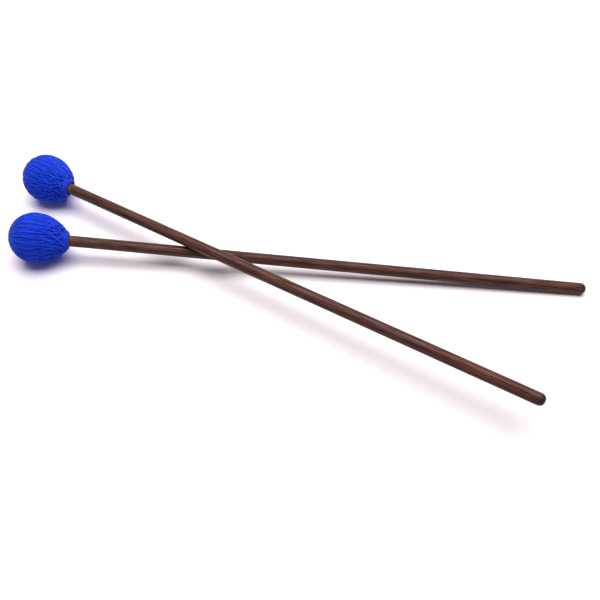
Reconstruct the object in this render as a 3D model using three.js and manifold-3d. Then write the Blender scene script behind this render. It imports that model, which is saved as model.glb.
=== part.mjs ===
// A pair of yarn marimba mallets laid down crossed, one shaft across the other.
// Lengths are in millimetres, +Z is up, and the mallets lie on the plane z = 0.
// The lower mallet points along +X from crown to butt. The origin is under the middle of the pair.
import * as THREE from "three";
import { mergeVertices } from "three/addons/utils/BufferGeometryUtils.js";
import Module from "manifold-3d";

const wasm = await Module();
wasm.setup();

// Driving sizes of the shaft and the core
const malletLength = 410;
const shaftDiameter = 8;
const tipChamfer = 0.8;
const buttRoundLength = 3.4;
const buttFaceDiameter = 3.6;
const coreDiameter = 23;
const coreSeatDepth = 17; // how far the shaft reaches into the core
const seatGap = 0.3; // between pieces that are glued or wound tight on one another

// Driving sizes of the yarn round the core
const sideYarn = 6.7;
const crownYarn = 6.8;
const taperLength = 24.4; // from the widest section to the neck
const neckYarn = 0.4; // inner yarn left under the binding at the neck
const taperHandleShare = 0.35;
const taperNeckSlopeShare = 0.94;

// The outer winding: one flattened strand, wound crown to neck and back in two crossing layers
const windingLoops = 16;
const strandWidth = 1.6;
const strandThickness = 0.8;
const strandGap = 0.4;
const crownRingRadius = 6.5; // how close the strand passes to the pole of the crown
const neckRingRise = 3.5; // how far above the neck it turns back
const crownLayerDrop = 2.55; // between the middles of the two layers
const waistLayerDrop = 1;
const neckLayerDrop = 1.73;
const layerChangeShare = 0.05; // how quickly the strand changes layer at the crown and at the neck
const crowdingShare = 0.106; // draws the strand's stations towards the crown and the neck
const restingFlatShare = 0.1; // of the strand's thickness, pressed flat where a head lies down

// The neck binding and the stitch at the crown
const bindingTurns = 2;
const bindingDiameter = 0.8;
const stitchLobes = 5;
const stitchDiameter = 1;
const stitchSwing = 1.1; // how far its lobes swing to each side of their mean radius
const stitchOpeningAngle = 0.35; // between its two ends

// How the pair lies. The crossing is measured along the floor from each head's widest section.
const crossingAngle = THREE.MathUtils.degToRad(25.44);
const lowerCrossing = 117.1;
const upperCrossing = 142.2;

// Counts of facets and of steps
const shaftSides = 32;
const headSides = 28;
const strandSides = 6;
const loopSteps = 20;
const unwoundSteps = 2; // left out at both ends of the winding, so that the yarn's ends lie apart
const bindingSteps = 12;
const lobeSteps = 5;
const outlineSteps = 14;
const arcSteps = 8;
const roundSteps = 5;
const halvings = 30;
const gapSamples = 3;
const settlingSteps = 4;

// Sizes that follow from these
const shaftRadius = shaftDiameter / 2;
const boreRadius = shaftRadius + seatGap;
const buttFaceRadius = buttFaceDiameter / 2;
const coreRadius = coreDiameter / 2;
const headRadius = coreRadius + sideYarn;
const crownLength = coreRadius + crownYarn; // from the crown to the widest section, the waist
const headLength = crownLength + taperLength;
const neckRadius = boreRadius + neckYarn + bindingDiameter;
const neckRingRadius = neckRadius + neckRingRise;
const tipHeight = crownLength + coreRadius - coreSeatDepth;
const crownHoleRadius = crownRingRadius - strandWidth / 2 - strandGap;
const overrun = headRadius;
const fullTurn = 2 * Math.PI;

const materials = {
  wood: new THREE.MeshStandardMaterial({ color: 0x5a352d, roughness: 0.38, metalness: 0 }),
  rubber: new THREE.MeshStandardMaterial({ color: 0x2b2a29, roughness: 0.8, metalness: 0 }),
  yarn: new THREE.MeshStandardMaterial({ color: 0x1f36c8, roughness: 0.85, metalness: 0 }),
};

// The head's outline, x as radius and y as distance from the crown: a quarter ellipse, then a taper.
function makeHeadOutline() {
  const handle = taperLength * taperHandleShare;
  const outline = new THREE.CurvePath();
  outline.add(new THREE.EllipseCurve(0, crownLength, headRadius, crownLength, -Math.PI / 2, 0));
  outline.add(
    new THREE.CubicBezierCurve(
      new THREE.Vector2(headRadius, crownLength),
      new THREE.Vector2(headRadius, crownLength + handle),
      new THREE.Vector2(neckRadius + handle * taperNeckSlopeShare, headLength - handle),
      new THREE.Vector2(neckRadius, headLength),
    ),
  );
  return outline;
}

const headOutline = makeHeadOutline();
const outlineLength = headOutline.getLength();
const waistShare = headOutline.curves[0].getLength() / outlineLength;

// The share of the outline with a given radius, between one end of it and the waist.
function shareAtRadius(radius, endShare) {
  let [inside, outside] = [endShare, waistShare];
  for (let halving = 0; halving < halvings; halving++) {
    const middle = (inside + outside) / 2;
    if (headOutline.getPoint(middle).x < radius) inside = middle;
    else outside = middle;
  }
  return inside;
}

// A point at a depth under the outline, and the outward direction there.
function underOutline(share, depth) {
  const tangent = headOutline.getTangent(share);
  const outward = new THREE.Vector2(tangent.y, -tangent.x);
  const point = headOutline.getPoint(share).addScaledVector(outward, -depth);
  return { point, outward };
}

// Turns a point or a direction of the outline to an azimuth round the mallet's axis.
function turned(flat, azimuth) {
  return new THREE.Vector3(flat.x * Math.sin(azimuth), flat.y, flat.x * Math.cos(azimuth));
}

// A station of a strand that lies at a depth under the outline.
function stationAt(share, depth, azimuth) {
  const { point, outward } = underOutline(share, depth);
  return { centre: turned(point, azimuth), outward: turned(outward, azimuth) };
}

// The corners of a strand's six-sided section at each station, its flats facing in and out.
function sectionCorners(stations, width, thickness) {
  const lift = thickness / 2 / Math.sin(fullTurn / strandSides);
  return stations.map((station, ring) => {
    const before = stations[Math.max(ring - 1, 0)].centre;
    const after = stations[Math.min(ring + 1, stations.length - 1)].centre;
    const along = after.clone().sub(before).normalize();
    const across = station.outward.clone().cross(along).normalize();
    const up = along.clone().cross(across);
    return Array.from({ length: strandSides }, (_, side) => {
      const angle = (side * fullTurn) / strandSides;
      const corner = station.centre.clone().addScaledVector(across, (Math.cos(angle) * width) / 2);
      return corner.addScaledVector(up, Math.sin(angle) * lift);
    });
  });
}

// A closed tube over the corners of its sections.
function makeTube(sections) {
  const corner = (ring, side) => ring * strandSides + (side % strandSides);
  const last = sections.length - 1;
  const index = [];
  for (let ring = 0; ring < last; ring++) {
    for (let side = 0; side < strandSides; side++) {
      const [a, b] = [corner(ring, side), corner(ring, side + 1)];
      const [c, d] = [corner(ring + 1, side), corner(ring + 1, side + 1)];
      index.push(a, b, d, a, d, c);
    }
  }
  for (let side = 1; side < strandSides - 1; side++) {
    index.push(corner(0, 0), corner(0, side + 1), corner(0, side));
    index.push(corner(last, 0), corner(last, side), corner(last, side + 1));
  }
  const geometry = new THREE.BufferGeometry().setFromPoints(sections.flat());
  geometry.setIndex(index);
  geometry.computeVertexNormals();
  return geometry;
}

// Both ends of a strand run straight on for one width.
function withStraightEnds(stations, width) {
  const beyond = (end, next) => {
    const away = end.centre.clone().sub(next.centre).setLength(width);
    return { centre: end.centre.clone().add(away), outward: end.outward };
  };
  return [beyond(stations[0], stations[1]), ...stations, beyond(stations.at(-1), stations.at(-2))];
}

// Where the winding turns back at each end of the head
const crownRingShare = shareAtRadius(crownRingRadius, 0);
const neckRingShare = shareAtRadius(neckRingRadius, 1);
const windingSpan = (neckRingShare - crownRingShare) * outlineLength;
const closestAngle = (crownRingRadius * Math.PI) / (windingSpan + 2 * crownRingRadius);

// The colatitude is the angle from the crown's pole, as on a globe.
function shareAtColatitude(colatitude) {
  const along = (colatitude - closestAngle) / (Math.PI - 2 * closestAngle);
  return crownRingShare + along * (neckRingShare - crownRingShare);
}

function layerDrop(colatitude) {
  const endDrop = colatitude < Math.PI / 2 ? crownLayerDrop : neckLayerDrop;
  return waistLayerDrop + (endDrop - waistLayerDrop) * Math.sqrt(Math.abs(Math.cos(colatitude)));
}

// The strand's way: a great circle that misses the poles and turns on by one pitch in each loop.
function strandWay(step) {
  const phase = step - crowdingShare * Math.sin(2 * step);
  const swing = Math.atan2(Math.sin(phase), Math.cos(phase) * Math.sin(closestAngle));
  const swung = swing < 0 ? swing + fullTurn : swing;
  return {
    phase,
    colatitude: Math.acos(Math.cos(phase) * Math.cos(closestAngle)),
    azimuth: swung + Math.floor(step / fullTurn) * fullTurn + phase / windingLoops,
  };
}

// It goes to the neck in the lower layer and comes back to the crown in the upper one.
function strandStation(step) {
  const { phase, colatitude, azimuth } = strandWay(step);
  const drop = layerDrop(colatitude);
  const side = Math.sin(phase);
  const layer = (side * Math.hypot(1, layerChangeShare)) / Math.hypot(side, layerChangeShare);
  const depth = (strandThickness + drop + drop * layer) / 2;
  return stationAt(shareAtColatitude(colatitude), depth, azimuth);
}

// Points on a strand's surface: each section's corners and edge middles, and the same between sections.
function surfacePoints(sections) {
  const rings = [];
  for (let ring = 0; ring < sections.length - 1; ring++) {
    for (let sample = 0; sample < gapSamples; sample++) {
      const between = sections[ring].map((point, side) =>
        point.clone().lerp(sections[ring + 1][side], sample / gapSamples),
      );
      const middles = between.map((point, side) =>
        point.clone().lerp(between[(side + 1) % strandSides], 1 / 2),
      );
      rings.push([...between, ...middles]);
    }
  }
  return rings;
}

// The least distance between stretches of a strand that aren't neighbours along it.
function leastGap(sections, reach, stationsApart) {
  const rings = surfacePoints(sections);
  let least = Infinity;
  for (let one = 0; one < rings.length; one++) {
    for (let two = one + stationsApart * gapSamples; two < rings.length; two++) {
      if (rings[one][0].distanceTo(rings[two][0]) > least + reach) continue;
      for (const point of rings[one]) {
        for (const other of rings[two]) least = Math.min(least, point.distanceTo(other));
      }
    }
  }
  return least;
}

function makeOuterWinding() {
  const stations = [];
  for (let step = unwoundSteps; step <= windingLoops * loopSteps - unwoundSteps; step++) {
    stations.push(strandStation((step * fullTurn) / loopSteps));
  }
  const sections = sectionCorners(withStraightEnds(stations, strandWidth), strandWidth, strandThickness);
  const gap = leastGap(sections, 2 * strandWidth, unwoundSteps + 1);
  console.log(`Outer winding: ${windingLoops} loops, least gap to itself ${gap.toFixed(3)} mm`);
  return makeTube(sections);
}

// The binding covers the rest of the taper, from just past the winding's last ring to the neck.
const bindingEdgeShare = neckRingShare + (strandWidth / 2 + strandGap) / outlineLength;

function makeNeckBinding() {
  const first = bindingEdgeShare + (strandGap + bindingDiameter / 2) / outlineLength;
  const last = 1 - bindingDiameter / 2 / outlineLength;
  const count = bindingTurns * bindingSteps;
  const stations = [];
  for (let step = 0; step <= count; step++) {
    const azimuth = (step * fullTurn) / bindingSteps;
    stations.push(stationAt(first + ((last - first) * step) / count, bindingDiameter / 2, azimuth));
  }
  const ended = withStraightEnds(stations, bindingDiameter);
  const sections = sectionCorners(ended, bindingDiameter, bindingDiameter);
  const gap = leastGap(sections, 2 * bindingDiameter, bindingSteps / 2);
  console.log(`Neck binding: ${bindingTurns} turns, least gap to itself ${gap.toFixed(3)} mm`);
  return makeTube(sections);
}

// The stitch is a star of small lobes inside the ring of strands.
function makeCrownStitch() {
  const reach = crownHoleRadius - seatGap - stitchDiameter / 2;
  const count = stitchLobes * lobeSteps;
  const stations = [];
  for (let step = 0; step <= count; step++) {
    const azimuth = stitchOpeningAngle / 2 + ((fullTurn - stitchOpeningAngle) * step) / count;
    const radius = reach - stitchSwing + stitchSwing * Math.cos(stitchLobes * azimuth);
    stations.push(stationAt(shareAtRadius(radius, 0), stitchDiameter / 2, azimuth));
  }
  return makeTube(sectionCorners(stations, stitchDiameter, stitchDiameter));
}

// An arc round the core's centre, from one angle to another, measured from the crown's side.
function coreArc(radius, fromAngle, toAngle) {
  return Array.from({ length: arcSteps + 1 }, (_, step) => {
    const angle = fromAngle + ((toAngle - fromAngle) * step) / arcSteps;
    return new THREE.Vector2(radius * Math.sin(angle), crownLength - radius * Math.cos(angle));
  });
}

// The inner yarn carries the stitch, the outer winding and the binding, and is hollow for the core.
function makeUnderWinding() {
  const crownHoleShare = shareAtRadius(crownHoleRadius, 0);
  const stitchSeat = stitchDiameter + seatGap;
  const bindingSeat = bindingDiameter + seatGap;
  const strandSeat = (colatitude) => strandThickness + layerDrop(colatitude) + seatGap;
  const profile = [new THREE.Vector2(0, stitchSeat)];
  profile.push(underOutline(crownHoleShare / 2, stitchSeat).point);
  profile.push(underOutline(crownHoleShare, stitchSeat).point);
  profile.push(underOutline(crownHoleShare, strandSeat(closestAngle)).point);
  for (let step = 0; step <= outlineSteps; step++) {
    const colatitude = closestAngle + ((Math.PI - 2 * closestAngle) * step) / outlineSteps;
    profile.push(underOutline(shareAtColatitude(colatitude), strandSeat(colatitude)).point);
  }
  profile.push(underOutline(bindingEdgeShare, strandSeat(Math.PI - closestAngle)).point);
  profile.push(underOutline(bindingEdgeShare, bindingSeat).point);
  const end = underOutline(1, bindingSeat).point;
  profile.push(end, new THREE.Vector2(boreRadius, end.y));
  const cavityRadius = coreRadius + seatGap;
  const mouthAngle = Math.PI - Math.asin(boreRadius / cavityRadius);
  profile.push(...coreArc(cavityRadius, mouthAngle, 0));
  return new THREE.LatheGeometry(profile, headSides);
}

// A ball with a blind bore for the shaft
function makeCore() {
  const mouthAngle = Math.PI - Math.asin(boreRadius / coreRadius);
  const profile = coreArc(coreRadius, 0, mouthAngle);
  profile.push(new THREE.Vector2(boreRadius, tipHeight - seatGap));
  profile.push(new THREE.Vector2(0, tipHeight - seatGap));
  return new THREE.LatheGeometry(profile, headSides);
}

// A round dowel with a small chamfer at the tip and a rounded butt that ends in a small flat face
function makeShaft() {
  const profile = [
    new THREE.Vector2(0, tipHeight),
    new THREE.Vector2(shaftRadius - tipChamfer, tipHeight),
    new THREE.Vector2(shaftRadius, tipHeight + tipChamfer),
  ];
  const roundStart = malletLength - buttRoundLength;
  for (let step = 0; step <= roundSteps; step++) {
    const angle = ((Math.PI / 2) * step) / roundSteps;
    const radius = buttFaceRadius + (shaftRadius - buttFaceRadius) * Math.cos(angle);
    profile.push(new THREE.Vector2(radius, roundStart + buttRoundLength * Math.sin(angle)));
  }
  profile.push(new THREE.Vector2(0, malletLength));
  return new THREE.LatheGeometry(profile, shaftSides);
}

function toSolid(geometry) {
  const plain = new THREE.BufferGeometry();
  plain.setAttribute("position", geometry.getAttribute("position"));
  plain.setIndex(geometry.getIndex());
  const merged = mergeVertices(plain);
  const vertProperties = merged.getAttribute("position").array;
  const triVerts = new Uint32Array(merged.getIndex().array);
  return new wasm.Manifold(new wasm.Mesh({ numProp: 3, vertProperties, triVerts }));
}

function toGeometry(solid) {
  const mesh = solid.getMesh();
  const geometry = new THREE.BufferGeometry();
  geometry.setAttribute("position", new THREE.BufferAttribute(mesh.vertProperties, mesh.numProp));
  geometry.setIndex(new THREE.BufferAttribute(mesh.triVerts, 1));
  geometry.computeVertexNormals();
  return geometry;
}

// Presses a head's winding flat where it lies on the floor, z = 0.
function flattenOnFloor(mesh) {
  mesh.updateWorldMatrix(true, false);
  const centre = new THREE.Vector3(0, crownLength, 0).applyMatrix4(mesh.matrixWorld);
  const floor = new THREE.BoxGeometry(headRadius + overrun, headRadius + overrun, overrun);
  floor.translate(centre.x, centre.y, -overrun / 2);
  const placed = toSolid(mesh.geometry.clone().applyMatrix4(mesh.matrixWorld));
  const inverse = mesh.matrixWorld.clone().invert();
  mesh.geometry = toGeometry(placed.subtract(toSolid(floor))).applyMatrix4(inverse);
}

// The pieces of one mallet, crown at the bottom and butt at the top of the Y axis
const pieces = [
  { name: "shaft", geometry: makeShaft(), material: materials.wood },
  { name: "core", geometry: makeCore(), material: materials.rubber },
  { name: "under_winding", geometry: makeUnderWinding(), material: materials.yarn },
  { name: "outer_winding", geometry: makeOuterWinding(), material: materials.yarn },
  { name: "neck_binding", geometry: makeNeckBinding(), material: materials.yarn },
  { name: "crown_stitch", geometry: makeCrownStitch(), material: materials.yarn },
];

// A strand of the upper layer is turned to the floor at the widest section.
const restingStrand = strandWay((3 * Math.PI) / 2).azimuth;

// One mallet with its widest section at the group's origin, its butt along +X and its pitch upwards.
function makeMallet(prefix, pitch) {
  const rolled = new THREE.Group();
  rolled.rotation.y = Math.PI - restingStrand;
  for (const { name, geometry, material } of pieces) {
    const mesh = new THREE.Mesh(geometry, material.clone());
    mesh.name = `${prefix}_${name}`;
    mesh.position.y = -crownLength;
    rolled.add(mesh);
  }
  const laid = new THREE.Group();
  laid.rotation.z = -Math.PI / 2;
  laid.add(rolled);
  const pitched = new THREE.Group();
  pitched.rotation.y = -pitch;
  pitched.add(laid);
  const mallet = new THREE.Group();
  mallet.add(pitched);
  return mallet;
}

const restHeight = headRadius - strandThickness * restingFlatShare;

// The lower mallet slopes down until the start of its butt's rounding touches the floor.
const restSpan = malletLength - buttRoundLength - crownLength;
const lowerPitch =
  Math.atan2(shaftRadius, restSpan) - Math.asin(restHeight / Math.hypot(restSpan, shaftRadius));

function shaftDirection(yaw, pitch) {
  const level = Math.cos(pitch);
  return new THREE.Vector3(level * Math.cos(yaw), level * Math.sin(yaw), Math.sin(pitch));
}

// The upper mallet slopes up until its shaft clears the lower one by the seat gap.
function settleUpperPitch() {
  const clear = shaftDiameter + seatGap;
  const crossingHeight = lowerCrossing * Math.tan(lowerPitch);
  const lower = shaftDirection(0, lowerPitch);
  let [rise, pitch] = [clear, 0];
  for (let step = 0; step < settlingSteps; step++) {
    pitch = Math.atan2(crossingHeight + rise, upperCrossing);
    const normal = lower.clone().cross(shaftDirection(-crossingAngle, pitch)).normalize();
    rise = clear / Math.abs(normal.z);
  }
  return pitch;
}

const pair = new THREE.Group();
const lowerMallet = makeMallet("lower", lowerPitch);
const upperMallet = makeMallet("upper", settleUpperPitch());
const backAlong = shaftDirection(-crossingAngle, 0).multiplyScalar(-upperCrossing);
lowerMallet.position.set(0, 0, restHeight);
upperMallet.position.set(lowerCrossing + backAlong.x, backAlong.y, restHeight);
upperMallet.rotation.z = -crossingAngle;
pair.add(lowerMallet, upperMallet);
pair.traverse((object) => {
  if (object.name.endsWith("outer_winding")) flattenOnFloor(object);
});

// The origin goes under the middle of the pair's box.
const middle = new THREE.Box3().setFromObject(pair, true).getCenter(new THREE.Vector3());
lowerMallet.position.sub(middle.setZ(0));
upperMallet.position.sub(middle);

export default pair;
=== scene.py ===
"""Dresses a crossed pair of yarn-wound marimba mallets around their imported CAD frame.

Everything is in metres, in the frame's own axes. A mallet's own coordinates have their origin at the
middle of its crown, Z along the mallet to the butt and X as near to upright as that allows.
"""

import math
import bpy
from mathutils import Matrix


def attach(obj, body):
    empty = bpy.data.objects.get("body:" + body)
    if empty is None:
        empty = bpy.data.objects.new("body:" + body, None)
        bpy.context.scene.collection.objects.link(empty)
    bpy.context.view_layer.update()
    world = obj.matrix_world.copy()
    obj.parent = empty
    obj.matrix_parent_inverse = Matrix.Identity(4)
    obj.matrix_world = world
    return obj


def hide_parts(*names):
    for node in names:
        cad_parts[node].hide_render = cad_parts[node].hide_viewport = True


bl_info = {
    "name": "Yarn mallet pair",
    "version": (1, 0, 0),
    "blender": (4, 5, 0),
    "location": "View3D > Sidebar > Mallets",
    "description": "Winds the yarn heads, turns the stained shafts and sets a plain studio round them",
    "category": "Object",
}

import bmesh
import bpy
import numpy as np
from bpy.props import FloatProperty, FloatVectorProperty, IntProperty, PointerProperty
from mathutils import Matrix, Vector
from mathutils.kdtree import KDTree

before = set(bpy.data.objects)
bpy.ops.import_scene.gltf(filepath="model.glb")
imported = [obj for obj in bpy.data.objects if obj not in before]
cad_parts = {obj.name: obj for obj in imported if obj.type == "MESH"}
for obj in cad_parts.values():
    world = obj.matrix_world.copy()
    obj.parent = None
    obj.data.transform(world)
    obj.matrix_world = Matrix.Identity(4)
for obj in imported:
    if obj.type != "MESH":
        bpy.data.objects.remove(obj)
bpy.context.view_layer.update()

MM = 0.001
UP = Vector((0, 0, 1))
FULL_TURN = 2 * math.pi
WHITE = (1, 1, 1, 1)
PREFIXES = ("lower", "upper")

# room round the shaft and the core, and the distance within which two vertices are one
CLEARANCE = 0.3 * MM
SAME_POINT = MM / 1000

# the yarn's material, and where the patterns find their place on a piece
YARN = "plied_blue_yarn"
STRAND_MAP = "strand_map"
# marks a strand's furrows between plies, where the yarn's material paints shade
FURROW_SHADE = "furrow_shade"
GRAIN_PLACE = "grain_place"

# the mallets whose yarn has been laid, by prefix
WOUND = {}


def linear(hex_colour):
    """An sRGB hex colour as linear red, green, blue and alpha."""
    channels = [int(hex_colour[start : start + 2], 16) / 255 for start in (1, 3, 5)]
    curved = [c / 12.92 if c <= 0.04045 else ((c + 0.055) / 1.055) ** 2.4 for c in channels]
    return (*curved, 1.0)


def colour_property(name, description, hex_colour):
    """A colour that starts as an sRGB hex value."""
    return FloatVectorProperty(
        name=name, description=description, default=linear(hex_colour),
        subtype="COLOR", size=4, min=0, max=1,
    )


def length_property(name, description, millimetres):
    """A length that starts as a number of millimetres."""
    return FloatProperty(
        name=name, description=description, default=millimetres * MM, unit="LENGTH", precision=5
    )


def length_pair(name, description, first, second):
    """Two lengths in millimetres: the lower and the upper mallet's, or the least and the most."""
    return FloatVectorProperty(
        name=name, description=description, default=(first * MM, second * MM),
        unit="LENGTH", size=2, precision=5,
    )


def angle_pair(name, description, least, most):
    """The least and the most of an angle, in degrees."""
    return FloatVectorProperty(
        name=name, description=description, default=(math.radians(least), math.radians(most)),
        unit="ROTATION", size=2,
    )


def node_points(node):
    """The different vertices of a CAD node."""
    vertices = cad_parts[node].data.vertices
    flat = np.empty(len(vertices) * 3, np.float32)
    vertices.foreach_get("co", flat)
    return np.unique(flat.reshape(-1, 3).round(7), axis=0).astype(float)


class ShaftSettings(bpy.types.PropertyGroup):
    """The wooden shafts."""

    tip_chamfer: length_property("Tip chamfer", "Chamfer at the tip inside the core", 0.8)
    butt_rounding: length_property("Butt rounding", "Length of the rounding at the butt", 3.7)
    butt_face: length_property("Butt face", "Diameter of the flat left at the butt", 1.8)
    sides: IntProperty(name="Sides", description="Faces round the shaft", default=72, min=12)
    grain_width: length_property("Grain width", "Spacing of the darker streaks of the grain", 1.1)
    # real pores are about 0.1 mm wide: they are drawn as coarse as they need to show
    pore_width: length_property("Pore width", "Width of the open pores", 0.75)
    pore_length: length_property("Pore length", "Length of the open pores", 16)
    stained: colour_property("Stained wood", "The stain over plain wood", "#573930")
    redder: colour_property("Redder wood", "The stain where the wood is redder", "#63382c")
    redness: FloatVectorProperty(
        name="Redness", description="How much redder wood the lower and the upper shaft show",
        size=2, default=(0.35, 0.85),
    )
    late_wood: colour_property("Late wood", "The stain over the denser streaks", "#33201b")
    pore_shade: colour_property("Pore shade", "What the open pores leave of the colour", "#6a5850")
    end_grain: colour_property("End grain", "The stain where the butt soaked it up", "#191615")
    soaked_length: length_property("Soaked length", "How far the darker stain reaches from the butt", 5)
    full_soak_share: FloatProperty(
        name="Full soak share", description="Share of the rounding that is fully dark",
        default=0.4, subtype="FACTOR",
    )
    bare_wood: colour_property("Thin stain", "The wood beside the head, where the stain is thin", "#965c30")
    thinness: FloatVectorProperty(
        name="Thinness", description="How thin the stain is beside the head, lower and upper",
        size=2, default=(0.4, 1),
    )
    thin_stain: length_property("Thin stain length", "How far the thin stain shows past the head", 6)


class YarnSettings(bpy.types.PropertyGroup):
    """The yarn and the way that it is wound."""

    head_radius: length_property("Head radius", "Radius of the wound head", 18.2)
    side_yarn: length_property("Side yarn", "Yarn over the core at its sides", 6.7)
    crown_yarn: length_property("Crown yarn", "Yarn over the core at the crown", 6.8)
    taper_length: length_pair("Taper length", "From widest ring to neck, lower and upper", 24.6, 24.0)
    tip_height: length_property("Tip height", "From the crown down to the shaft's tip", 12.8)
    neck_radius: length_pair("Neck radius", "Radius of the head at its neck, lower and upper", 5.9, 5.4)
    taper_handle: FloatProperty(
        name="Taper handle", description="Share of the taper that its ends curve over", default=0.35
    )
    neck_slope: FloatProperty(
        name="Neck slope", description="Slope of the taper at the neck", default=0.94
    )
    width: length_property("Strand width", "Width of a strand pressed on the head", 1.45)
    thickness: length_property("Strand thickness", "Thickness of a strand pressed on the head", 1.1)
    plies: IntProperty(name="Plies", description="Plies twisted into the yarn", default=3, min=2)
    twist_pitch: length_property("Twist pitch", "Length of one turn of the plies", 6)
    loops: IntProperty(name="Loops", description="Turns of yarn round each head", default=100, min=8)
    sides: IntProperty(name="Sides", description="Faces round a strand", default=10, min=6)
    steps: IntProperty(name="Steps", description="Steps along one loop of yarn", default=160, min=40)
    wander: length_property("Wander", "How far a strand strays from its way", 0.24)
    deepest: length_property("Deepest", "How deep the earliest strands lie", 1.05)
    neck_looseness: length_property("Neck looseness", "How much deeper the crevices are at the neck", 1.1)
    fade_steps: IntProperty(
        name="Fade steps", description="Steps over which two loops even out", default=12
    )
    waist_miss: angle_pair("Waist miss", "Least and most slant of the strands at the waist", 0.5, 4)
    crown_miss: angle_pair("Crown miss", "Least and most by which a loop misses the crown's pole", 6, 12)
    neck_miss: angle_pair("Neck miss", "Least and most by which a loop misses the neck's pole", 5, 12)
    crown_ring: length_pair("Crown ring", "Least and most radius at which a loop rounds the crown", 1.5, 6)
    neck_ring: length_pair("Neck ring", "Least and most room from the neck's radius to a loop", 0.4, 1.8)
    collar_lean: length_pair("Collar lean", "How far the collar leans, lower and upper", 1.8, 1.5)
    lean_side: FloatProperty(
        name="Lean side", description="Side of the shaft where a collar reaches furthest, from the top",
        default=math.radians(40), unit="ROTATION",
    )
    ply_swell: FloatProperty(name="Ply swell", description="How far each ply stands out", default=0.09)
    inner_depth: length_property("Inner depth", "How deep the packed inner yarn lies", 1.7)
    inner_sides: IntProperty(
        name="Inner sides", description="Faces round the inner yarn", default=96, min=12
    )
    recess: length_property("Recess", "How far the inner yarn stays back from the collar's end", 2.6)
    binding_turns: IntProperty(name="Binding turns", description="Turns round the neck", default=2, min=1)
    binding_width: length_property("Binding width", "Width of a turn of the binding", 1.3)
    stitch_lobes: IntProperty(
        name="Stitch lobes", description="Points of the crown's star", default=5, min=3
    )
    stitch_width: length_property("Stitch width", "Width of the star's strand", 1.2)
    stitch_ring: length_pair("Stitch ring", "Least and most radius of the crown's star", 1.2, 5)
    bright: colour_property("Bright fibre", "Fibres on top of the yarn", "#1f49ee")
    # the dark end of the fibres' random tone, which also serves as painted shade in the furrows between
    # plies
    deep: colour_property("Deep fibre", "Fibres between the plies", "#0f2498")
    seed: IntProperty(name="Seed", description="Start of the random choices", default=11)


class StageSettings(bpy.types.PropertyGroup):
    """The camera, the lamp and the floor."""

    azimuth: FloatProperty(
        name="Azimuth", description="Camera's turn round the pair",
        default=math.radians(5.193), unit="ROTATION",
    )
    elevation: FloatProperty(
        name="Elevation", description="Camera's height angle",
        default=math.radians(53.122), unit="ROTATION",
    )
    distance: length_property("Distance", "From the camera to the point it aims at", 455.39)
    aim: FloatVectorProperty(
        name="Aim", description="The point on the floor at the picture's middle",
        default=(11.73 * MM, -9.54 * MM, 0), unit="LENGTH",
    )
    picture_size: FloatProperty(
        name="Picture size", description="Width of the picture", default=600, subtype="PIXEL"
    )
    focal_pixels: FloatProperty(
        name="Focal length", description="Focal length at that width", default=649.7, subtype="PIXEL"
    )
    nearest: length_property("Nearest", "Nearest distance that the camera sees", 10)
    floor_size: length_property("Floor size", "Length of the floor's sides", 6000)
    lit_paper: length_property("Lit paper", "How far from the middle the floor keeps its shadows", 450)
    white_paper: length_property("White paper", "How far from the middle it is plain white", 800)
    floor_drop: length_property("Floor drop", "How far the floor lies under the pair", 0.02)
    seen_paper: FloatVectorProperty(
        name="Seen paper", description="How white the camera sees the floor", default=(1.26, 1.16, 1.2)
    )
    lamp_width: length_property("Lamp width", "Width of the soft box overhead", 1300)
    lamp_depth: length_property("Lamp depth", "Depth of the soft box overhead", 900)
    lamp_height: length_property("Lamp height", "Height of the soft box over the floor", 1000)
    lamp_behind: length_property("Lamp behind", "Place of the soft box along Y", 240)
    lamp_power: FloatProperty(
        name="Lamp power", description="Power of the soft box", default=16, unit="POWER"
    )
    sky: colour_property("Sky", "Light from all round", "#eceaf4")
    sky_strength: FloatProperty(name="Sky strength", description="Strength of that light", default=0.1)
    paper: colour_property("Floor", "Colour of the floor", "#f2f1f3")


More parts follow.
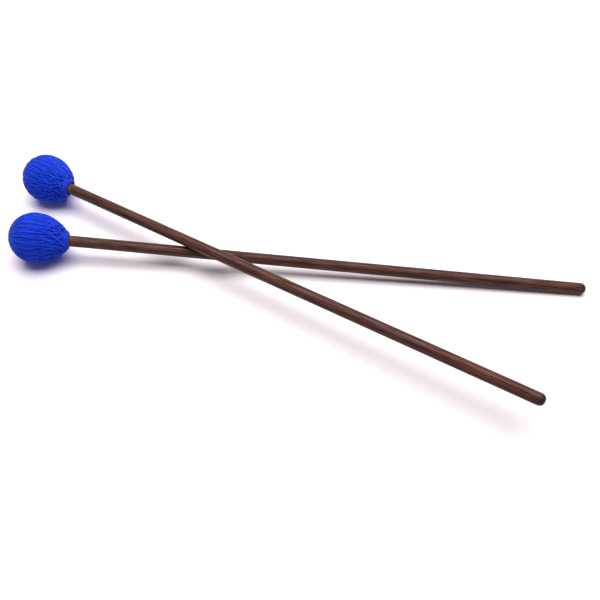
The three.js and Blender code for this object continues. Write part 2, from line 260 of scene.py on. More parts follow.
class Outline:
    """A head's profile from crown to neck: a quarter ellipse and a taper, read by the length along it."""

    samples = 240
    lean_power = 3  # the lean grows as this power of the way down the taper
    past_neck = (0.5 * MM, 1.3 * MM)  # two points past the neck, which give the last strands their slope
    past_drop = (0, 0.1 * MM)  # how much narrower the outline is at those points

    def __init__(self, crown_length, head_length, number, settings):
        head_radius, neck = settings.head_radius, settings.neck_radius[number]
        quarter = np.linspace(0, math.pi / 2, self.samples)
        crown_radius, crown_height = head_radius * np.sin(quarter), crown_length * (1 - np.cos(quarter))
        # the taper is a cubic Bezier curve from the widest ring to the neck
        handle = (head_length - crown_length) * settings.taper_handle
        radii = (head_radius, head_radius, neck + handle * settings.neck_slope, neck)
        heights = (crown_length, crown_length + handle, head_length - handle, head_length)
        share = np.linspace(0, 1, self.samples)[1:]
        weights = ((1 - share) ** 3, 3 * share * (1 - share) ** 2, 3 * share**2 * (1 - share), share**3)
        taper_radius = sum(weight * radius for weight, radius in zip(weights, radii))
        taper_height = sum(weight * height for weight, height in zip(weights, heights))
        past_radius = [neck - drop for drop in self.past_drop]
        past_height = [head_length + reach for reach in self.past_neck]
        self.radius = np.concatenate([crown_radius, taper_radius, past_radius])
        self.height = np.concatenate([crown_height, taper_height, past_height])
        steps = np.hypot(np.diff(self.radius), np.diff(self.height))
        self.along = np.concatenate([[0], np.cumsum(steps)])
        self.length = self.along[-1 - len(self.past_neck)]
        self.waist = self.along[self.samples - 1]
        self.neck, self.lean, self.lean_side = neck, settings.collar_lean[number], settings.lean_side
        self.rise = np.gradient(self.height, self.along)
        self.run = np.gradient(self.radius, self.along)

    def radius_at(self, along):
        """The outline's radius at a length along it."""
        return np.interp(along, self.along, self.radius)

    def places(self, along, azimuth, lift=0.0):
        """Points at a height over the outline, and the outward directions there, in the mallet's axes."""
        radius, height = self.radius_at(along), np.interp(along, self.along, self.height)
        out, down = np.interp(along, self.along, self.rise), np.interp(along, self.along, self.run)
        size = np.hypot(out, down)
        out, down = out / size, down / size
        flat = np.stack([np.cos(azimuth), np.sin(azimuth)], axis=-1)
        lean = self.lean * self.taper_share(along) ** self.lean_power * np.cos(azimuth - self.lean_side)
        points = np.column_stack([flat * (radius + lift * out)[:, None], height - lift * down + lean])
        return points, np.column_stack([flat * out[:, None], -down])

    def taper_share(self, along):
        """How far along the taper a place lies, from 0 at the widest ring to 1 at the neck."""
        return np.clip((along - self.waist) / (self.length - self.waist), 0, 1)

    def along_at(self, radius, neck_side):
        """The length along the outline at a radius, on the crown's side or on the neck's."""
        middle = self.samples
        if neck_side:
            return np.interp(-radius, -self.radius[middle:], self.along[middle:])
        return np.interp(radius, self.radius[:middle], self.along[:middle])


class Mallet:
    """Where the CAD frame holds one mallet, and the sizes that its nodes measure."""

    def __init__(self, prefix, settings):
        self.prefix, self.number = prefix, PREFIXES.index(prefix)
        self.body = f"{prefix}_mallet"
        shaft, core = node_points(f"{prefix}_shaft"), node_points(f"{prefix}_core")
        centre = shaft.mean(axis=0)
        # the shaft's points spread furthest along its axis, which points away from the head
        axis = np.linalg.eigh(np.cov((shaft - centre).T))[1][:, -1]
        if (core.mean(axis=0) - centre) @ axis > 0:
            axis = -axis
        away = shaft - centre
        along = away @ axis
        crown = along.min() - settings.tip_height
        self.tip, self.butt = settings.tip_height, along.max() - crown
        self.shaft_radius = np.linalg.norm(away - np.outer(along, axis), axis=1).max()
        self.core_radius = settings.head_radius - settings.side_yarn
        self.crown_length = self.core_radius + settings.crown_yarn
        self.head_length = self.crown_length + settings.taper_length[self.number]
        self.outline = Outline(self.crown_length, self.head_length, self.number, settings)
        z = Vector(axis)
        x = (UP - z * z.dot(UP)).normalized()
        self.matrix = Matrix((x, z.cross(x), z)).transposed().to_4x4()
        self.matrix.translation = Vector(centre + axis * crown)


def add_node(tree, kind, settings=(), inputs=()):
    """A node with its settings and its inputs, which are values or the sockets that feed them."""
    node = tree.nodes.new(kind)
    for name, value in dict(settings).items():
        setattr(node, name, value)
    for socket, value in dict(inputs).items():
        if isinstance(value, bpy.types.NodeSocket):
            tree.links.new(value, node.inputs[socket])
        else:
            node.inputs[socket].default_value = value
    return node


def new_material(name):
    """A material without nodes, and the tree for its nodes."""
    material = bpy.data.materials.new(name)
    material.use_nodes = True
    material.node_tree.nodes.clear()
    return material, material.node_tree


def new_piece(name, shape, mallet, material, replaced):
    """Makes a finished bmesh, in the mallet's axes, the piece that stands for one of its CAD nodes.

    What would reach under the surface that the pair lies on is pressed flat on it.
    """
    bmesh.ops.transform(shape, matrix=mallet.matrix, verts=shape.verts)
    for vertex in shape.verts:
        vertex.co.z = max(vertex.co.z, 0)
    mesh = bpy.data.meshes.new(name)
    shape.to_mesh(mesh)
    shape.free()
    mesh.polygons.foreach_set("use_smooth", [True] * len(mesh.polygons))
    mesh.materials.append(material)
    piece = bpy.data.objects.new(name, mesh)
    bpy.context.scene.collection.objects.link(piece)
    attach(piece, mallet.body)
    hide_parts(f"{mallet.prefix}_{replaced}")
    return piece


def grain_noise(tree, mallet, width, length, look):
    """Marks of a width across the dowel and a length along it, in other places on the other shaft."""
    stick_shift = 9 * mallet.number
    place = add_node(tree, "ShaderNodeAttribute", {"attribute_name": GRAIN_PLACE}).outputs["Vector"]
    stretched = add_node(
        tree, "ShaderNodeMapping", {},
        {"Vector": place, "Scale": (1 / width, 1 / width, 1 / length), "Location": (0, 0, stick_shift)},
    )
    noise = add_node(
        tree, "ShaderNodeTexNoise", {}, {"Vector": stretched.outputs["Vector"], "Scale": 1, **look}
    )
    return noise.outputs["Fac"]


def stained_wood(settings, mallet):
    """Hardwood dowel, stained walnut brown under satin varnish: a soft broad shine over fine streaks."""
    material, tree = new_material("stained_dowel_satin_varnish")

    # patches of redder wood
    patch_width, patch_length = 7 * MM, 45 * MM
    patches = grain_noise(tree, mallet, patch_width, patch_length, {"Detail": 2})
    patch_share = add_node(
        tree, "ShaderNodeMapRange", {},
        {
            "Value": patches, "From Min": 0.38, "From Max": 0.56,
            "To Max": settings.redness[mallet.number],
        },
    )
    toned = add_node(
        tree, "ShaderNodeMix", {"data_type": "RGBA"},
        {"Factor": patch_share.outputs["Result"], 6: settings.stained, 7: settings.redder},
    )

    # darker streaks of late wood
    streak_length = 60 * MM
    streaks = grain_noise(
        tree, mallet, settings.grain_width, streak_length,
        {"Detail": 5, "Roughness": 0.6, "Distortion": 0.35},
    )
    streak_share = add_node(
        tree, "ShaderNodeMapRange", {}, {"Value": streaks, "From Min": 0.46, "From Max": 0.6}
    )
    streaked = add_node(
        tree, "ShaderNodeMix", {"data_type": "RGBA"},
        {"Factor": streak_share.outputs["Result"], 6: toned.outputs[2], 7: settings.late_wood},
    )

    # open pores, which the stain fills
    pores = grain_noise(
        tree, mallet, settings.pore_width, settings.pore_length, {"Detail": 2, "Roughness": 0.5}
    )
    pore_share = add_node(
        tree, "ShaderNodeMapRange", {}, {"Value": pores, "From Min": 0.48, "From Max": 0.62}
    )
    pored = add_node(
        tree, "ShaderNodeMix", {"data_type": "RGBA", "blend_type": "MULTIPLY"},
        {"Factor": pore_share.outputs["Result"], 6: streaked.outputs[2], 7: settings.pore_shade},
    )

    # spots beside the head, where the stain is thin
    place = add_node(tree, "ShaderNodeAttribute", {"attribute_name": GRAIN_PLACE}).outputs["Vector"]
    height = add_node(tree, "ShaderNodeSeparateXYZ", {}, {"Vector": place}).outputs["Z"]
    neck = mallet.head_length
    near_neck = add_node(
        tree, "ShaderNodeMapRange", {"interpolation_type": "SMOOTHSTEP"},
        {
            "Value": height, "From Min": neck, "From Max": neck + settings.thin_stain,
            "To Min": 1, "To Max": 0,
        },
    )
    spot_size = 3.5 * MM
    spots = grain_noise(tree, mallet, spot_size, spot_size, {"Detail": 1, "Roughness": 0.4})
    spot_share = add_node(
        tree, "ShaderNodeMapRange", {"interpolation_type": "SMOOTHSTEP"},
        {
            "Value": spots, "From Min": 0.48, "From Max": 0.62,
            "To Min": 0.05, "To Max": settings.thinness[mallet.number],
        },
    )
    thin = add_node(
        tree, "ShaderNodeMath", {"operation": "MULTIPLY"},
        {0: near_neck.outputs["Result"], 1: spot_share.outputs["Result"]},
    )
    thinned = add_node(
        tree, "ShaderNodeMix", {"data_type": "RGBA"},
        {"Factor": thin.outputs[0], 6: pored.outputs[2], 7: settings.bare_wood},
    )

    # the end grain of the butt, which soaked up the stain
    soak_start = mallet.butt - settings.soaked_length
    full_soak = mallet.butt - settings.butt_rounding * settings.full_soak_share
    soaked = add_node(
        tree, "ShaderNodeMapRange", {"interpolation_type": "SMOOTHSTEP"},
        {"Value": height, "From Min": soak_start, "From Max": full_soak},
    )
    colour = add_node(
        tree, "ShaderNodeMix", {"data_type": "RGBA"},
        {"Factor": soaked.outputs["Result"], 6: thinned.outputs[2], 7: settings.end_grain},
    )

    # the varnish sinks a little into the pores, and is duller there
    pore_depth = 0.03 * MM
    roughness = add_node(
        tree, "ShaderNodeMapRange", {},
        {"Value": pore_share.outputs["Result"], "To Min": 0.3, "To Max": 0.5},
    )
    bump = add_node(
        tree, "ShaderNodeBump", {"invert": True},
        {"Height": pore_share.outputs["Result"], "Strength": 0.35, "Distance": pore_depth},
    )
    shader = add_node(
        tree, "ShaderNodeBsdfPrincipled", {},
        {
            "Base Color": colour.outputs[2],
            "Roughness": roughness.outputs["Result"],
            "IOR": 1.5,
            "Specular IOR Level": 0.3,
            "Specular Tint": linear("#ffc4b8"),
            "Normal": bump.outputs["Normal"],
        },
    )
    add_node(tree, "ShaderNodeOutputMaterial", {}, {"Surface": shader.outputs["BSDF"]})
    return material


def moulded_rubber():
    """Hard rubber ball, moulded: near black and matte, with a faint bloom."""
    material, tree = new_material("moulded_hard_rubber")
    bloom_size = 2.5 * MM
    place = add_node(tree, "ShaderNodeTexCoord").outputs["Object"]
    bloom = add_node(
        tree, "ShaderNodeTexNoise", {}, {"Vector": place, "Scale": 1 / bloom_size, "Detail": 4}
    )
    colour = add_node(
        tree, "ShaderNodeMix", {"data_type": "RGBA"},
        {"Factor": bloom.outputs["Fac"], 6: linear("#232221"), 7: linear("#3a3836")},
    )
    roughness = add_node(
        tree, "ShaderNodeMapRange", {}, {"Value": bloom.outputs["Fac"], "To Min": 0.65, "To Max": 0.85}
    )
    shader = add_node(
        tree, "ShaderNodeBsdfPrincipled", {},
        {"Base Color": colour.outputs[2], "Roughness": roughness.outputs["Result"], "IOR": 1.52},
    )
    add_node(tree, "ShaderNodeOutputMaterial", {}, {"Surface": shader.outputs["BSDF"]})
    return material


def plied_yarn(settings):
    """Soft plied yarn: matte fibres that lie along the strand, with painted shade in the furrows between
    plies.
    """
    material, tree = new_material(YARN)
    strand_map = add_node(tree, "ShaderNodeUVMap", {"uv_map": STRAND_MAP}).outputs["UV"]
    # real fibres are about 0.02 mm wide: they are drawn as coarse as they need to show, in the map's mm
    fibre_width, fibre_length = 0.2, 3
    fibre_at = add_node(
        tree, "ShaderNodeMapping", {},
        {"Vector": strand_map, "Scale": (1 / fibre_width, 1 / fibre_length, 1)},
    )
    fibres = add_node(
        tree, "ShaderNodeTexNoise", {"noise_dimensions": "2D"},
        {"Vector": fibre_at.outputs["Vector"], "Scale": 1, "Detail": 3, "Roughness": 0.65},
    )
    furrow_shade = add_node(tree, "ShaderNodeAttribute", {"attribute_name": FURROW_SHADE}).outputs["Fac"]
    fibre_share = add_node(
        tree, "ShaderNodeMapRange", {}, {"Value": fibres.outputs["Fac"], "From Min": 0.3, "From Max": 0.7}
    )

    # how much the fibres change the colour, how much painted shade the furrows get, and how high a fibre
    # stands
    fibre_contrast, furrow_shade_contrast, fibre_height = 0.22, 0.55, 0.08 * MM
    shade = add_node(
        tree, "ShaderNodeMath", {"operation": "MULTIPLY_ADD"},
        {0: fibre_share.outputs["Result"], 1: -fibre_contrast, 2: fibre_contrast / 2},
    )
    # the furrows between plies are mixed towards the deep colour: painted shade
    depth = add_node(
        tree, "ShaderNodeMath", {"operation": "MULTIPLY_ADD", "use_clamp": True},
        {0: furrow_shade, 1: furrow_shade_contrast, 2: shade.outputs[0]},
    )
    colour = add_node(
        tree, "ShaderNodeMix", {"data_type": "RGBA"},
        {"Factor": depth.outputs[0], 6: settings.bright, 7: settings.deep},
    )
    bump = add_node(
        tree, "ShaderNodeBump", {},
        {"Height": fibre_share.outputs["Result"], "Strength": 0.25, "Distance": fibre_height},
    )
    shader = add_node(
        tree, "ShaderNodeBsdfPrincipled", {},
        {
            "Base Color": colour.outputs[2],
            "Roughness": 0.7,
            "IOR": 1.5,
            "Specular Tint": linear("#5070ff"),
            "Normal": bump.outputs["Normal"],
            "Sheen Weight": 0.85,
            "Sheen Roughness": 0.3,
            "Sheen Tint": linear("#a4beff"),
            "Subsurface Weight": 0.5,
            "Subsurface Radius": (0.5, 0.7, 1.4),
            "Subsurface Scale": MM,
        },
    )
    add_node(tree, "ShaderNodeOutputMaterial", {}, {"Surface": shader.outputs["BSDF"]})
    return material


def packed_yarn_painted_shade():
    """Inner yarn seen down the crevices: the same yarn painted in darker blues as shade, rough with packed
    fibres.
    """
    material, tree = new_material("packed_inner_yarn_painted_shade")
    tuft_size, tuft_height = 0.7 * MM, 0.3 * MM
    place = add_node(tree, "ShaderNodeTexCoord").outputs["Object"]
    fibres = add_node(
        tree, "ShaderNodeTexNoise", {},
        {"Vector": place, "Scale": 1 / tuft_size, "Detail": 4, "Roughness": 0.7},
    )
    # both blues are darker than the outer yarn's: painted shade for the yarn deep in the crevices
    colour = add_node(
        tree, "ShaderNodeMix", {"data_type": "RGBA"},
        {"Factor": fibres.outputs["Fac"], 6: linear("#0f1c78"), 7: linear("#1a2fb4")},
    )
    bump = add_node(
        tree, "ShaderNodeBump", {},
        {"Height": fibres.outputs["Fac"], "Strength": 0.8, "Distance": tuft_height},
    )
    shader = add_node(
        tree, "ShaderNodeBsdfPrincipled", {},
        {"Base Color": colour.outputs[2], "Roughness": 0.95, "IOR": 1.45, "Normal": bump.outputs["Normal"]},
    )
    add_node(tree, "ShaderNodeOutputMaterial", {}, {"Surface": shader.outputs["BSDF"]})
    return material


def loose_depth(outline, along, settings):
    """How much deeper the crevices are towards the neck, where the strands cross steeply."""
    share = outline.taper_share(along)
    eased = share * share * (3 - 2 * share)
    return settings.neck_looseness * eased


class Pile:
    """The room left under the strands laid so far, at points spread evenly over a head.

    Strands are laid backwards: the last one wound lies on the outline, and the first one deep below.
    """

    spacing = 0.35 * MM
    least_in_ring = 3
    give = 0.35  # share of its half thickness that a strand keeps where others press on it
    slope = 0.5  # how steeply a strand rises from under another
    rounding = 1.8 * MM

    def __init__(self, outline, settings):
        self.along = np.arange(self.spacing / 2, outline.length, self.spacing)
        counts = np.round(FULL_TURN * outline.radius_at(self.along) / self.spacing)
        counts = np.maximum(counts, self.least_in_ring).astype(int)
        row = np.repeat(np.arange(len(counts)), counts)
        azimuth = np.concatenate([np.arange(count) * FULL_TURN / count for count in counts])
        points, _ = outline.places(self.along[row], azimuth)
        self.outline, self.settings = outline, settings
        self.room = np.full(len(points), (self.give - 1) * settings.thickness / 2)
        self.tree = KDTree(len(points))
        for number, point in enumerate(points):
            self.tree.insert(point, number)
        self.tree.balance()

    def lay(self, along, azimuth, width, thickness):
        """Tucks a strand under those laid before and returns how high it lies at each of its points."""
        points, _ = self.outline.places(along, azimuth)
        hits = [
            (place, number, distance)
            for place, point in enumerate(points)
            for _, number, distance in self.tree.find_range(point, width / 2)
        ]
        place, number, distance = (np.array(column) for column in zip(*hits))
        # the strand's round back, and how high that leaves its middle under what lies over it
        dome = thickness / 2 * np.sqrt(np.maximum(1 - (distance / (width / 2)) ** 2, 0))
        highest = np.full(len(points), -thickness / 2)
        np.minimum.at(highest, place, self.room[number] - self.give * dome)
        # it rises no steeper than its slope on either side of a low place
        gaps = np.linalg.norm(np.diff(points, axis=0), axis=1)
        climb = self.slope * np.concatenate([[0], np.cumsum(gaps)])
        ahead = np.minimum.accumulate(highest - climb) + climb
        back = np.minimum.accumulate((highest + climb)[::-1])[::-1] - climb
        # its bends are rounded by a sliding mean
        window = np.hanning(round(self.rounding / gaps.mean()) + 3)
        padded = np.pad(np.minimum(ahead, back), len(window) // 2, mode="edge")
        rest = np.convolve(padded, window / window.sum(), mode="same")
        rest = rest[len(window) // 2 :][: len(points)]
        rest = np.maximum(rest, -self.settings.deepest - loose_depth(self.outline, along, self.settings))
        np.minimum.at(self.room, number, rest[place] - dome)
        return rest


def smooth_wave(turns, random, count, slowest, fastest):
    """A smooth random curve of about unit size over a number of turns."""
    rates = random.uniform(slowest, fastest, count)
    phases = random.uniform(0, FULL_TURN, count)
    waves = np.sin(FULL_TURN * np.outer(turns, rates) + phases)
    return waves.sum(axis=1) / math.sqrt(count)


def winding_way(outline, settings, random):
    """The strand's way over a head as lengths along the outline and azimuths.

    Each loop goes from the neck round the crown and back, and passes both sideways, as a great circle
    that misses the poles would.
    """
    loops, steps = settings.loops, settings.steps
    step = np.arange(loops * steps + 1)
    turns = step / steps
    loop = np.minimum(step // steps, loops - 1)
    phase = FULL_TURN * (turns - np.floor(turns)) - math.pi
    neck_loop = np.where(phase < 0, loop, loop + 1)
    pole_power = 3  # the higher it is, the closer to its pole a loop's miss holds
    at_crown, at_neck = (np.maximum(side * np.cos(phase), 0) ** pole_power for side in (1, -1))
    waist_miss, crown_miss, neck_miss = (
        random.uniform(*limits, loops + 1)
        for limits in (settings.waist_miss, settings.crown_miss, settings.neck_miss)
    )
    miss = waist_miss[loop] * (1 - at_crown - at_neck)
    miss += crown_miss[loop] * at_crown + neck_miss[neck_loop] * at_neck
    crown_ring = outline.along_at(random.uniform(*settings.crown_ring, loops + 1), False)
    neck_ring = outline.along_at(outline.neck + random.uniform(*settings.neck_ring, loops + 1), True)
    colatitude = np.arccos(np.cos(phase) * np.cos(miss))
    share = (colatitude - miss) / (math.pi - 2 * miss)
    along = crown_ring[loop] * (1 - share) + neck_ring[neck_loop] * share
    swing = np.unwrap(np.arctan2(np.sin(phase), np.cos(phase) * np.sin(miss)))
    stray = settings.wander * smooth_wave(turns, random, count=8, slowest=2.3, fastest=14.7)
    # the golden part keeps later rounds from falling on earlier ones
    loops_in_round = 9 + (math.sqrt(5) - 1) / 2
    azimuth = swing * (1 + 1 / loops_in_round) + stray / outline.radius_at(along)
    return along, azimuth


def binding_way(outline, settings):
    """The binding's turns side by side round the neck, which start and end underneath."""
    turns, width = settings.binding_turns, settings.binding_width
    steps = 72
    turn = np.linspace(0, turns, turns * steps + 1)
    first, last = outline.length - width * turns, outline.length
    underneath = settings.lean_side + math.pi
    return first + (last - first) * turn / turns, underneath + turn * FULL_TURN


def stitch_way(outline, settings):
    """The star round the crown's middle, in and out once for each of its points, not quite closed."""
    half_gap, places = 0.02, 200
    turn = np.linspace(half_gap, 1 - half_gap, places)
    swing = np.cos(FULL_TURN * turn * settings.stitch_lobes)
    least, most = settings.stitch_ring
    radius = (least + most) / 2 + (most - least) / 2 * swing
    return outline.along_at(radius, False), turn * FULL_TURN


def wind_head(mallet, settings, random):
    """Lays the yarn of a head from the outside in: the binding, the star and then the loops.

    A strand's way is kept with its width and its thickness, and beside it how high its places lie.
    """
    outline = mallet.outline
    pile = Pile(outline, settings)
    binding, stitch = settings.binding_width, settings.stitch_width
    binding_flatness, stitch_flatness = 0.62, 0.8
    mallet.ways = {
        "binding": (*binding_way(outline, settings), binding, binding * binding_flatness),
        "stitch": (*stitch_way(outline, settings), stitch, stitch * stitch_flatness),
        "winding": (*winding_way(outline, settings, random), settings.width, settings.thickness),
    }
    mallet.rest = {}
    for part, (along, azimuth, width, thickness) in mallet.ways.items():
        rest = np.empty(len(along))
        steps = settings.steps if part == "winding" else len(along) - 1
        for start in range(len(along) - 1 - steps, -1, -steps):
            stretch = slice(start, start + steps + 1)
            joint = rest[start + steps]
            laid = pile.lay(along[stretch], azimuth[stretch], width, thickness)
            # a loop and the one laid before it meet at the mean of their heights
            if start + steps < len(along) - 1:
                fade = np.linspace(0, 1, settings.fade_steps) ** 2
                after = slice(start + steps, start + steps + settings.fade_steps)
                middle = (laid[-1] + joint) / 2
                laid[-settings.fade_steps :] += (middle - laid[-1]) * fade
                rest[after] += (middle - joint) * fade[::-1]
            rest[stretch] = laid
        mallet.rest[part] = rest
    return mallet


def strand_shape(points, outward, settings, width, thickness):
    """A plied strand as a closed bmesh, with its girth and its length.

    It is a grid rolled up along the points, and its plies turn as it goes.
    """
    rings, sides = len(points), settings.sides
    ahead = np.gradient(points, axis=0)
    ahead /= np.linalg.norm(ahead, axis=1)[:, None]
    across = np.cross(outward, ahead)
    across /= np.linalg.norm(across, axis=1)[:, None]
    up = np.cross(ahead, across)
    travel = np.concatenate([[0], np.cumsum(np.linalg.norm(np.diff(points, axis=0), axis=1))])
    side = np.arange(sides + 1) % sides * FULL_TURN / sides
    lobe = np.cos(settings.plies * side)
    swell = 1 + settings.ply_swell * lobe
    angle = side[None, :] + (FULL_TURN * travel / settings.twist_pitch)[:, None]
    flat = across[:, None, :] * (np.cos(angle) * swell * width / 2)[..., None]
    tall = up[:, None, :] * (np.sin(angle) * swell * thickness / 2)[..., None]
    corners = (points[:, None, :] + flat + tall).reshape(-1, 3)
    # how far each side lies in a furrow between plies, where the yarn's material paints shade
    furrows = np.tile((1 - lobe) / 2, rings)
    shape = bmesh.new()
    shape.loops.layers.uv.new(STRAND_MAP)
    furrow_shade = shape.verts.layers.float.new(FURROW_SHADE)
    bmesh.ops.create_grid(shape, x_segments=sides, y_segments=rings - 1, size=1, calc_uvs=True)
    for vertex, corner, depth in zip(shape.verts, corners, furrows):
        vertex.co = corner
        vertex[furrow_shade] = depth
    bmesh.ops.remove_doubles(shape, verts=shape.verts, dist=SAME_POINT)
    bmesh.ops.holes_fill(shape, edges=[edge for edge in shape.edges if edge.is_boundary], sides=0)
    bmesh.ops.recalc_face_normals(shape, faces=shape.faces)
    return shape, math.pi * (width + thickness) / 2, travel[-1]


def yarn_piece(name, mallet, settings, way, part, material, replaced):
    """A stretch of a strand laid on a head, with its strand map scaled to millimetres."""
    along, azimuth, width, thickness = mallet.ways[way]
    points, outward = mallet.outline.places(along[part], azimuth[part], mallet.rest[way][part])
    points = clear_of_shaft(points, mallet, thickness)
    shape, girth, length = strand_shape(points, outward, settings, width, thickness)
    piece = new_piece(name, shape, mallet, material, replaced)
    layer = piece.data.uv_layers[STRAND_MAP]
    places = np.empty(len(layer.uv) * 2, np.float32)
    layer.uv.foreach_get("vector", places)
    places = places.reshape(-1, 2) * np.array([girth / MM, length / MM], np.float32)
    layer.uv.foreach_set("vector", places.ravel())
    return piece


def clear_of_shaft(points, mallet, thickness):
    """Moves points beside the neck out to where a strand just clears the shaft."""
    radius = np.hypot(points[:, 0], points[:, 1])
    least = mallet.shaft_radius + thickness / 2
    beside = (points[:, 2] > mallet.crown_length) & (radius < least)
    points[beside, :2] *= (least / radius[beside])[:, None]
    return points


def turned_profile(profile, sides):
    """A closed solid of revolution round Z from points of radius and height, which start and end on Z."""
    shape = bmesh.new()
    verts = [shape.verts.new((radius, 0, height)) for radius, height in profile]
    edges = [shape.edges.new(pair) for pair in zip(verts, verts[1:])]
    bmesh.ops.spin(
        shape, geom=verts + edges, cent=(0, 0, 0), axis=UP, angle=FULL_TURN, steps=sides, use_merge=True
    )
    bmesh.ops.remove_doubles(shape, verts=shape.verts, dist=SAME_POINT)
    bmesh.ops.recalc_face_normals(shape, faces=shape.faces)
    return shape


def shaft_profile(mallet, settings):
    """The dowel's outline: a chamfered tip, a straight body and a rounded butt with a small flat."""
    radius, face = mallet.shaft_radius, settings.butt_face / 2
    profile = [(0, mallet.tip), (radius - settings.tip_chamfer, mallet.tip)]
    start, end = mallet.tip + settings.tip_chamfer, mallet.butt - settings.butt_rounding
    body_rings, rounding_rings = 60, 10
    profile += [(radius, height) for height in np.linspace(start, end, body_rings)]
    for angle in np.linspace(0, math.pi / 2, rounding_rings + 1)[1:]:
        out = face + (radius - face) * math.cos(angle)
        profile.append((out, end + settings.butt_rounding * math.sin(angle)))
    return [*profile, (0, mallet.butt)]


def inner_profile(mallet, settings):
    """The inner yarn's outline: under the strands outside, round the core and along the bore inside."""
    outline = mallet.outline
    outer_rings, cavity_rings = 120, 40
    rows = np.linspace(0, outline.length - settings.recess, outer_rings)
    depth = settings.inner_depth + loose_depth(outline, rows, settings)
    points, _ = outline.places(rows, np.zeros(len(rows)), -depth)
    bore = mallet.shaft_radius + CLEARANCE
    outer = [(max(x, bore + CLEARANCE), z) for x, _, z in points]
    outer[0] = (0, outer[0][1])
    cavity, centre = mallet.core_radius + CLEARANCE, mallet.crown_length
    mouth = math.pi - math.asin(bore / cavity)
    angles = np.linspace(mouth, 0, cavity_rings)
    inside = [(cavity * math.sin(angle), centre - cavity * math.cos(angle)) for angle in angles]
    return [*outer, (bore, outer[-1][1]), *inside]


def wound_mallets():
    """Both mallets as measured, with their yarn laid, which is worked out only once."""
    if not WOUND:
        settings = bpy.context.scene.mallet_yarn
        for number, prefix in enumerate(PREFIXES):
            random = np.random.default_rng(settings.seed + number)
            WOUND[prefix] = wind_head(Mallet(prefix, settings), settings, random)
    return WOUND.values()


def strand_pieces(settings, way, parts, replaced):
    """The pieces of one strand on both heads, from the name and the stretch of each."""
    material = bpy.data.materials.get(YARN) or plied_yarn(settings)
    for mallet in wound_mallets():
        for name, part in parts.items():
            yarn_piece(f"{mallet.prefix}_{name}", mallet, settings, way, part, material, replaced)


class MALLET_OT_shafts(bpy.types.Operator):
    """Turn both wooden shafts, tip to butt, with their stain and varnish"""

    bl_idname = "mallet.shafts"
    bl_label = "Shafts"

    def execute(self, context):
        settings = context.scene.mallet_shaft
        for mallet in wound_mallets():
            shape = turned_profile(shaft_profile(mallet, settings), settings.sides)
            grain = shape.verts.layers.float_vector.new(GRAIN_PLACE)
            for vertex in shape.verts:
                vertex[grain] = vertex.co
            material = stained_wood(settings, mallet)
            new_piece(f"{mallet.prefix}_dowel", shape, mallet, material, "shaft")
        return {"FINISHED"}


class MALLET_OT_cores(bpy.types.Operator):
    """Give both rubber cores their finish"""

    bl_idname = "mallet.cores"
    bl_label = "Cores"

    def execute(self, context):
        material = moulded_rubber()
        for prefix in PREFIXES:
            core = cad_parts[f"{prefix}_core"]
            for slot in core.material_slots:
                slot.material = material
        return {"FINISHED"}


class MALLET_OT_inner_yarn(bpy.types.Operator):
    """Fill both heads with packed yarn under the winding, hollow round the core"""

    bl_idname = "mallet.inner_yarn"
    bl_label = "Inner yarn"

    def execute(self, context):
        settings = context.scene.mallet_yarn
        material = packed_yarn_painted_shade()
        for mallet in wound_mallets():
            shape = turned_profile(inner_profile(mallet, settings), settings.inner_sides)
            name = f"{mallet.prefix}_inner_yarn"
            new_piece(name, shape, mallet, material, "under_winding")
        return {"FINISHED"}


class MALLET_OT_windings(bpy.types.Operator):
    """Wind the outer yarn of both heads, neck to crown and back, each as an early and a late stretch"""

    bl_idname = "mallet.windings"
    bl_label = "Windings"

    def execute(self, context):
        settings = context.scene.mallet_yarn
        middle = settings.loops // 2 * settings.steps
        parts = {"early_winding": slice(0, middle + 1), "late_winding": slice(middle, None)}
        strand_pieces(settings, "winding", parts, "outer_winding")
        return {"FINISHED"}


class MALLET_OT_neck_bindings(bpy.types.Operator):
    """Tie both windings to their shafts with the last turns of yarn"""

    bl_idname = "mallet.neck_bindings"
    bl_label = "Neck bindings"

    def execute(self, context):
        parts = {"collar_binding": slice(None)}
        strand_pieces(context.scene.mallet_yarn, "binding", parts, "neck_binding")
        return {"FINISHED"}


class MALLET_OT_crown_stitches(bpy.types.Operator):
    """Sew the star of yarn that holds the strands at the crown of both heads"""

    bl_idname = "mallet.crown_stitches"
    bl_label = "Crown stitches"

    def execute(self, context):
        parts = {"crown_star": slice(None)}
        strand_pieces(context.scene.mallet_yarn, "stitch", parts, "crown_stitch")
        return {"FINISHED"}


def sight(tree):
    """Whether the camera sees a place straight, whether in gloss or glass, and whether in any way."""
    paths = add_node(tree, "ShaderNodeLightPath").outputs
    straight, gloss, glass = paths["Is Camera Ray"], paths["Is Glossy Ray"], paths["Is Transmission Ray"]
    either = {"operation": "MAXIMUM"}
    mirrored = add_node(tree, "ShaderNodeMath", either, {0: gloss, 1: glass}).outputs[0]
    seen = add_node(tree, "ShaderNodeMath", either, {0: straight, 1: mirrored}).outputs[0]
    return straight, mirrored, seen


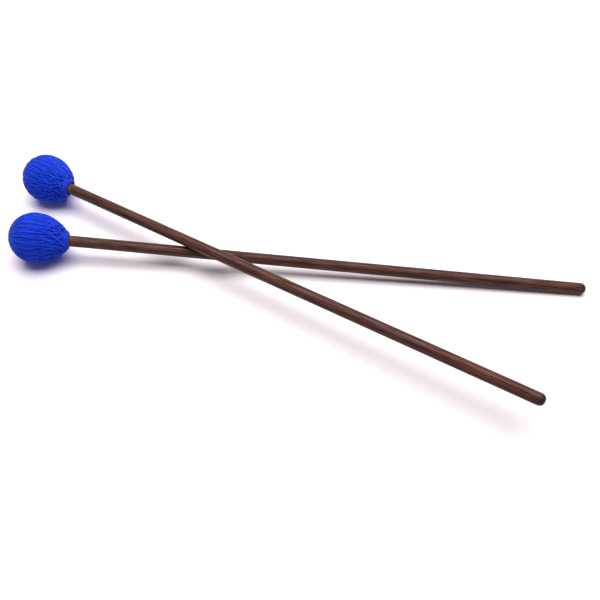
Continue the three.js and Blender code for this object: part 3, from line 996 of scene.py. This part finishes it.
def paper_floor(settings):
    """Matte white paper that keeps the shadows near the mallets and is plain white further off."""
    material, tree = new_material("white_paper_floor")
    straight, mirrored, seen = sight(tree)
    paper = add_node(
        tree, "ShaderNodeMix", {"data_type": "RGBA"}, {"Factor": mirrored, 6: settings.paper, 7: WHITE}
    )
    colour = add_node(
        tree, "ShaderNodeMix", {"data_type": "RGBA"},
        {"Factor": straight, 6: paper.outputs[2], 7: (*settings.seen_paper, 1)},
    )
    lit = add_node(tree, "ShaderNodeBsdfDiffuse", {}, {"Color": colour.outputs[2], "Roughness": 0})
    place = add_node(tree, "ShaderNodeTexCoord").outputs["Object"]
    away = add_node(tree, "ShaderNodeVectorMath", {"operation": "LENGTH"}, {0: place}).outputs["Value"]
    far = add_node(
        tree, "ShaderNodeMapRange", {},
        {"Value": away, "From Min": settings.lit_paper, "From Max": settings.white_paper, "To Max": seen},
    )
    white = add_node(tree, "ShaderNodeEmission", {}, {"Color": WHITE, "Strength": 1})
    both = add_node(
        tree, "ShaderNodeMixShader", {},
        {0: far.outputs["Result"], 1: lit.outputs[0], 2: white.outputs[0]},
    )
    add_node(tree, "ShaderNodeOutputMaterial", {}, {"Surface": both.outputs[0]})
    return material


def studio_sky(settings):
    """Even light from all round, which the camera sees as plain white."""
    world = bpy.data.worlds.new("studio_sky")
    world.use_nodes = True
    tree = world.node_tree
    tree.nodes.clear()
    _, _, seen = sight(tree)
    light = {"Color": settings.sky, "Strength": settings.sky_strength}
    lit = add_node(tree, "ShaderNodeBackground", {}, light)
    white = add_node(tree, "ShaderNodeBackground", {}, {"Color": WHITE, "Strength": 1})
    both = add_node(
        tree, "ShaderNodeMixShader", {}, {0: seen, 1: lit.outputs[0], 2: white.outputs[0]}
    )
    add_node(tree, "ShaderNodeOutputWorld", {}, {"Surface": both.outputs[0]})
    return world


class MALLET_OT_stage(bpy.types.Operator):
    """Set the camera, the overhead soft box, the sky and the floor"""

    bl_idname = "mallet.stage"
    bl_label = "Stage"

    def execute(self, context):
        scene, settings = context.scene, context.scene.mallet_stage
        shape = bmesh.new()
        bmesh.ops.create_grid(shape, x_segments=1, y_segments=1, size=settings.floor_size / 2)
        mesh = bpy.data.meshes.new("floor")
        shape.to_mesh(mesh)
        shape.free()
        mesh.materials.append(paper_floor(settings))
        floor = bpy.data.objects.new("floor", mesh)
        floor.location.z = -settings.floor_drop

        lamp = bpy.data.lights.new("soft_box", "AREA")
        lamp.shape = "RECTANGLE"
        lamp.size, lamp.size_y = settings.lamp_width, settings.lamp_depth
        lamp.energy = settings.lamp_power
        box = bpy.data.objects.new("soft_box", lamp)
        box.location = (0, settings.lamp_behind, settings.lamp_height)

        camera = bpy.data.cameras.new("camera")
        camera.lens = camera.sensor_width * settings.focal_pixels / settings.picture_size
        camera.clip_start = settings.nearest
        viewer = bpy.data.objects.new("camera", camera)
        level = math.cos(settings.elevation)
        back = Vector((
            math.sin(settings.azimuth) * level,
            -math.cos(settings.azimuth) * level,
            math.sin(settings.elevation),
        ))
        viewer.location = Vector(settings.aim) + back * settings.distance
        viewer.rotation_euler = (-back).to_track_quat("-Z", "Y").to_euler()

        for thing in (floor, box, viewer):
            scene.collection.objects.link(thing)
        scene.camera = viewer
        scene.world = studio_sky(settings)
        scene.view_settings.view_transform = "Standard"
        return {"FINISHED"}


OPERATORS = (
    MALLET_OT_stage,
    MALLET_OT_shafts,
    MALLET_OT_cores,
    MALLET_OT_windings,
    MALLET_OT_neck_bindings,
    MALLET_OT_crown_stitches,
    MALLET_OT_inner_yarn,
)


class MALLET_PT_panel(bpy.types.Panel):
    """Lists the steps that dress the pair of mallets"""

    bl_idname = "MALLET_PT_panel"
    bl_label = "Mallets"
    bl_space_type = "VIEW_3D"
    bl_region_type = "UI"
    bl_category = "Mallets"

    def draw(self, context):
        for operator in OPERATORS:
            self.layout.operator(operator.bl_idname)


SETTINGS = {"mallet_shaft": ShaftSettings, "mallet_yarn": YarnSettings, "mallet_stage": StageSettings}
CLASSES = (*SETTINGS.values(), *OPERATORS, MALLET_PT_panel)


def register():
    """Makes the classes and the settings known to Blender."""
    for cls in CLASSES:
        bpy.utils.register_class(cls)
    for name, group in SETTINGS.items():
        setattr(bpy.types.Scene, name, PointerProperty(type=group))


def unregister():
    """Takes them out again, in the reverse order."""
    for name in SETTINGS:
        delattr(bpy.types.Scene, name)
    for cls in reversed(CLASSES):
        bpy.utils.unregister_class(cls)


def main():
    """Builds the stage and every piece."""
    register()
    bpy.ops.mallet.stage()
    bpy.ops.mallet.shafts()
    bpy.ops.mallet.cores()
    bpy.ops.mallet.windings()
    bpy.ops.mallet.neck_bindings()
    bpy.ops.mallet.crown_stitches()
    bpy.ops.mallet.inner_yarn()


if __name__ == "__main__":
    main()
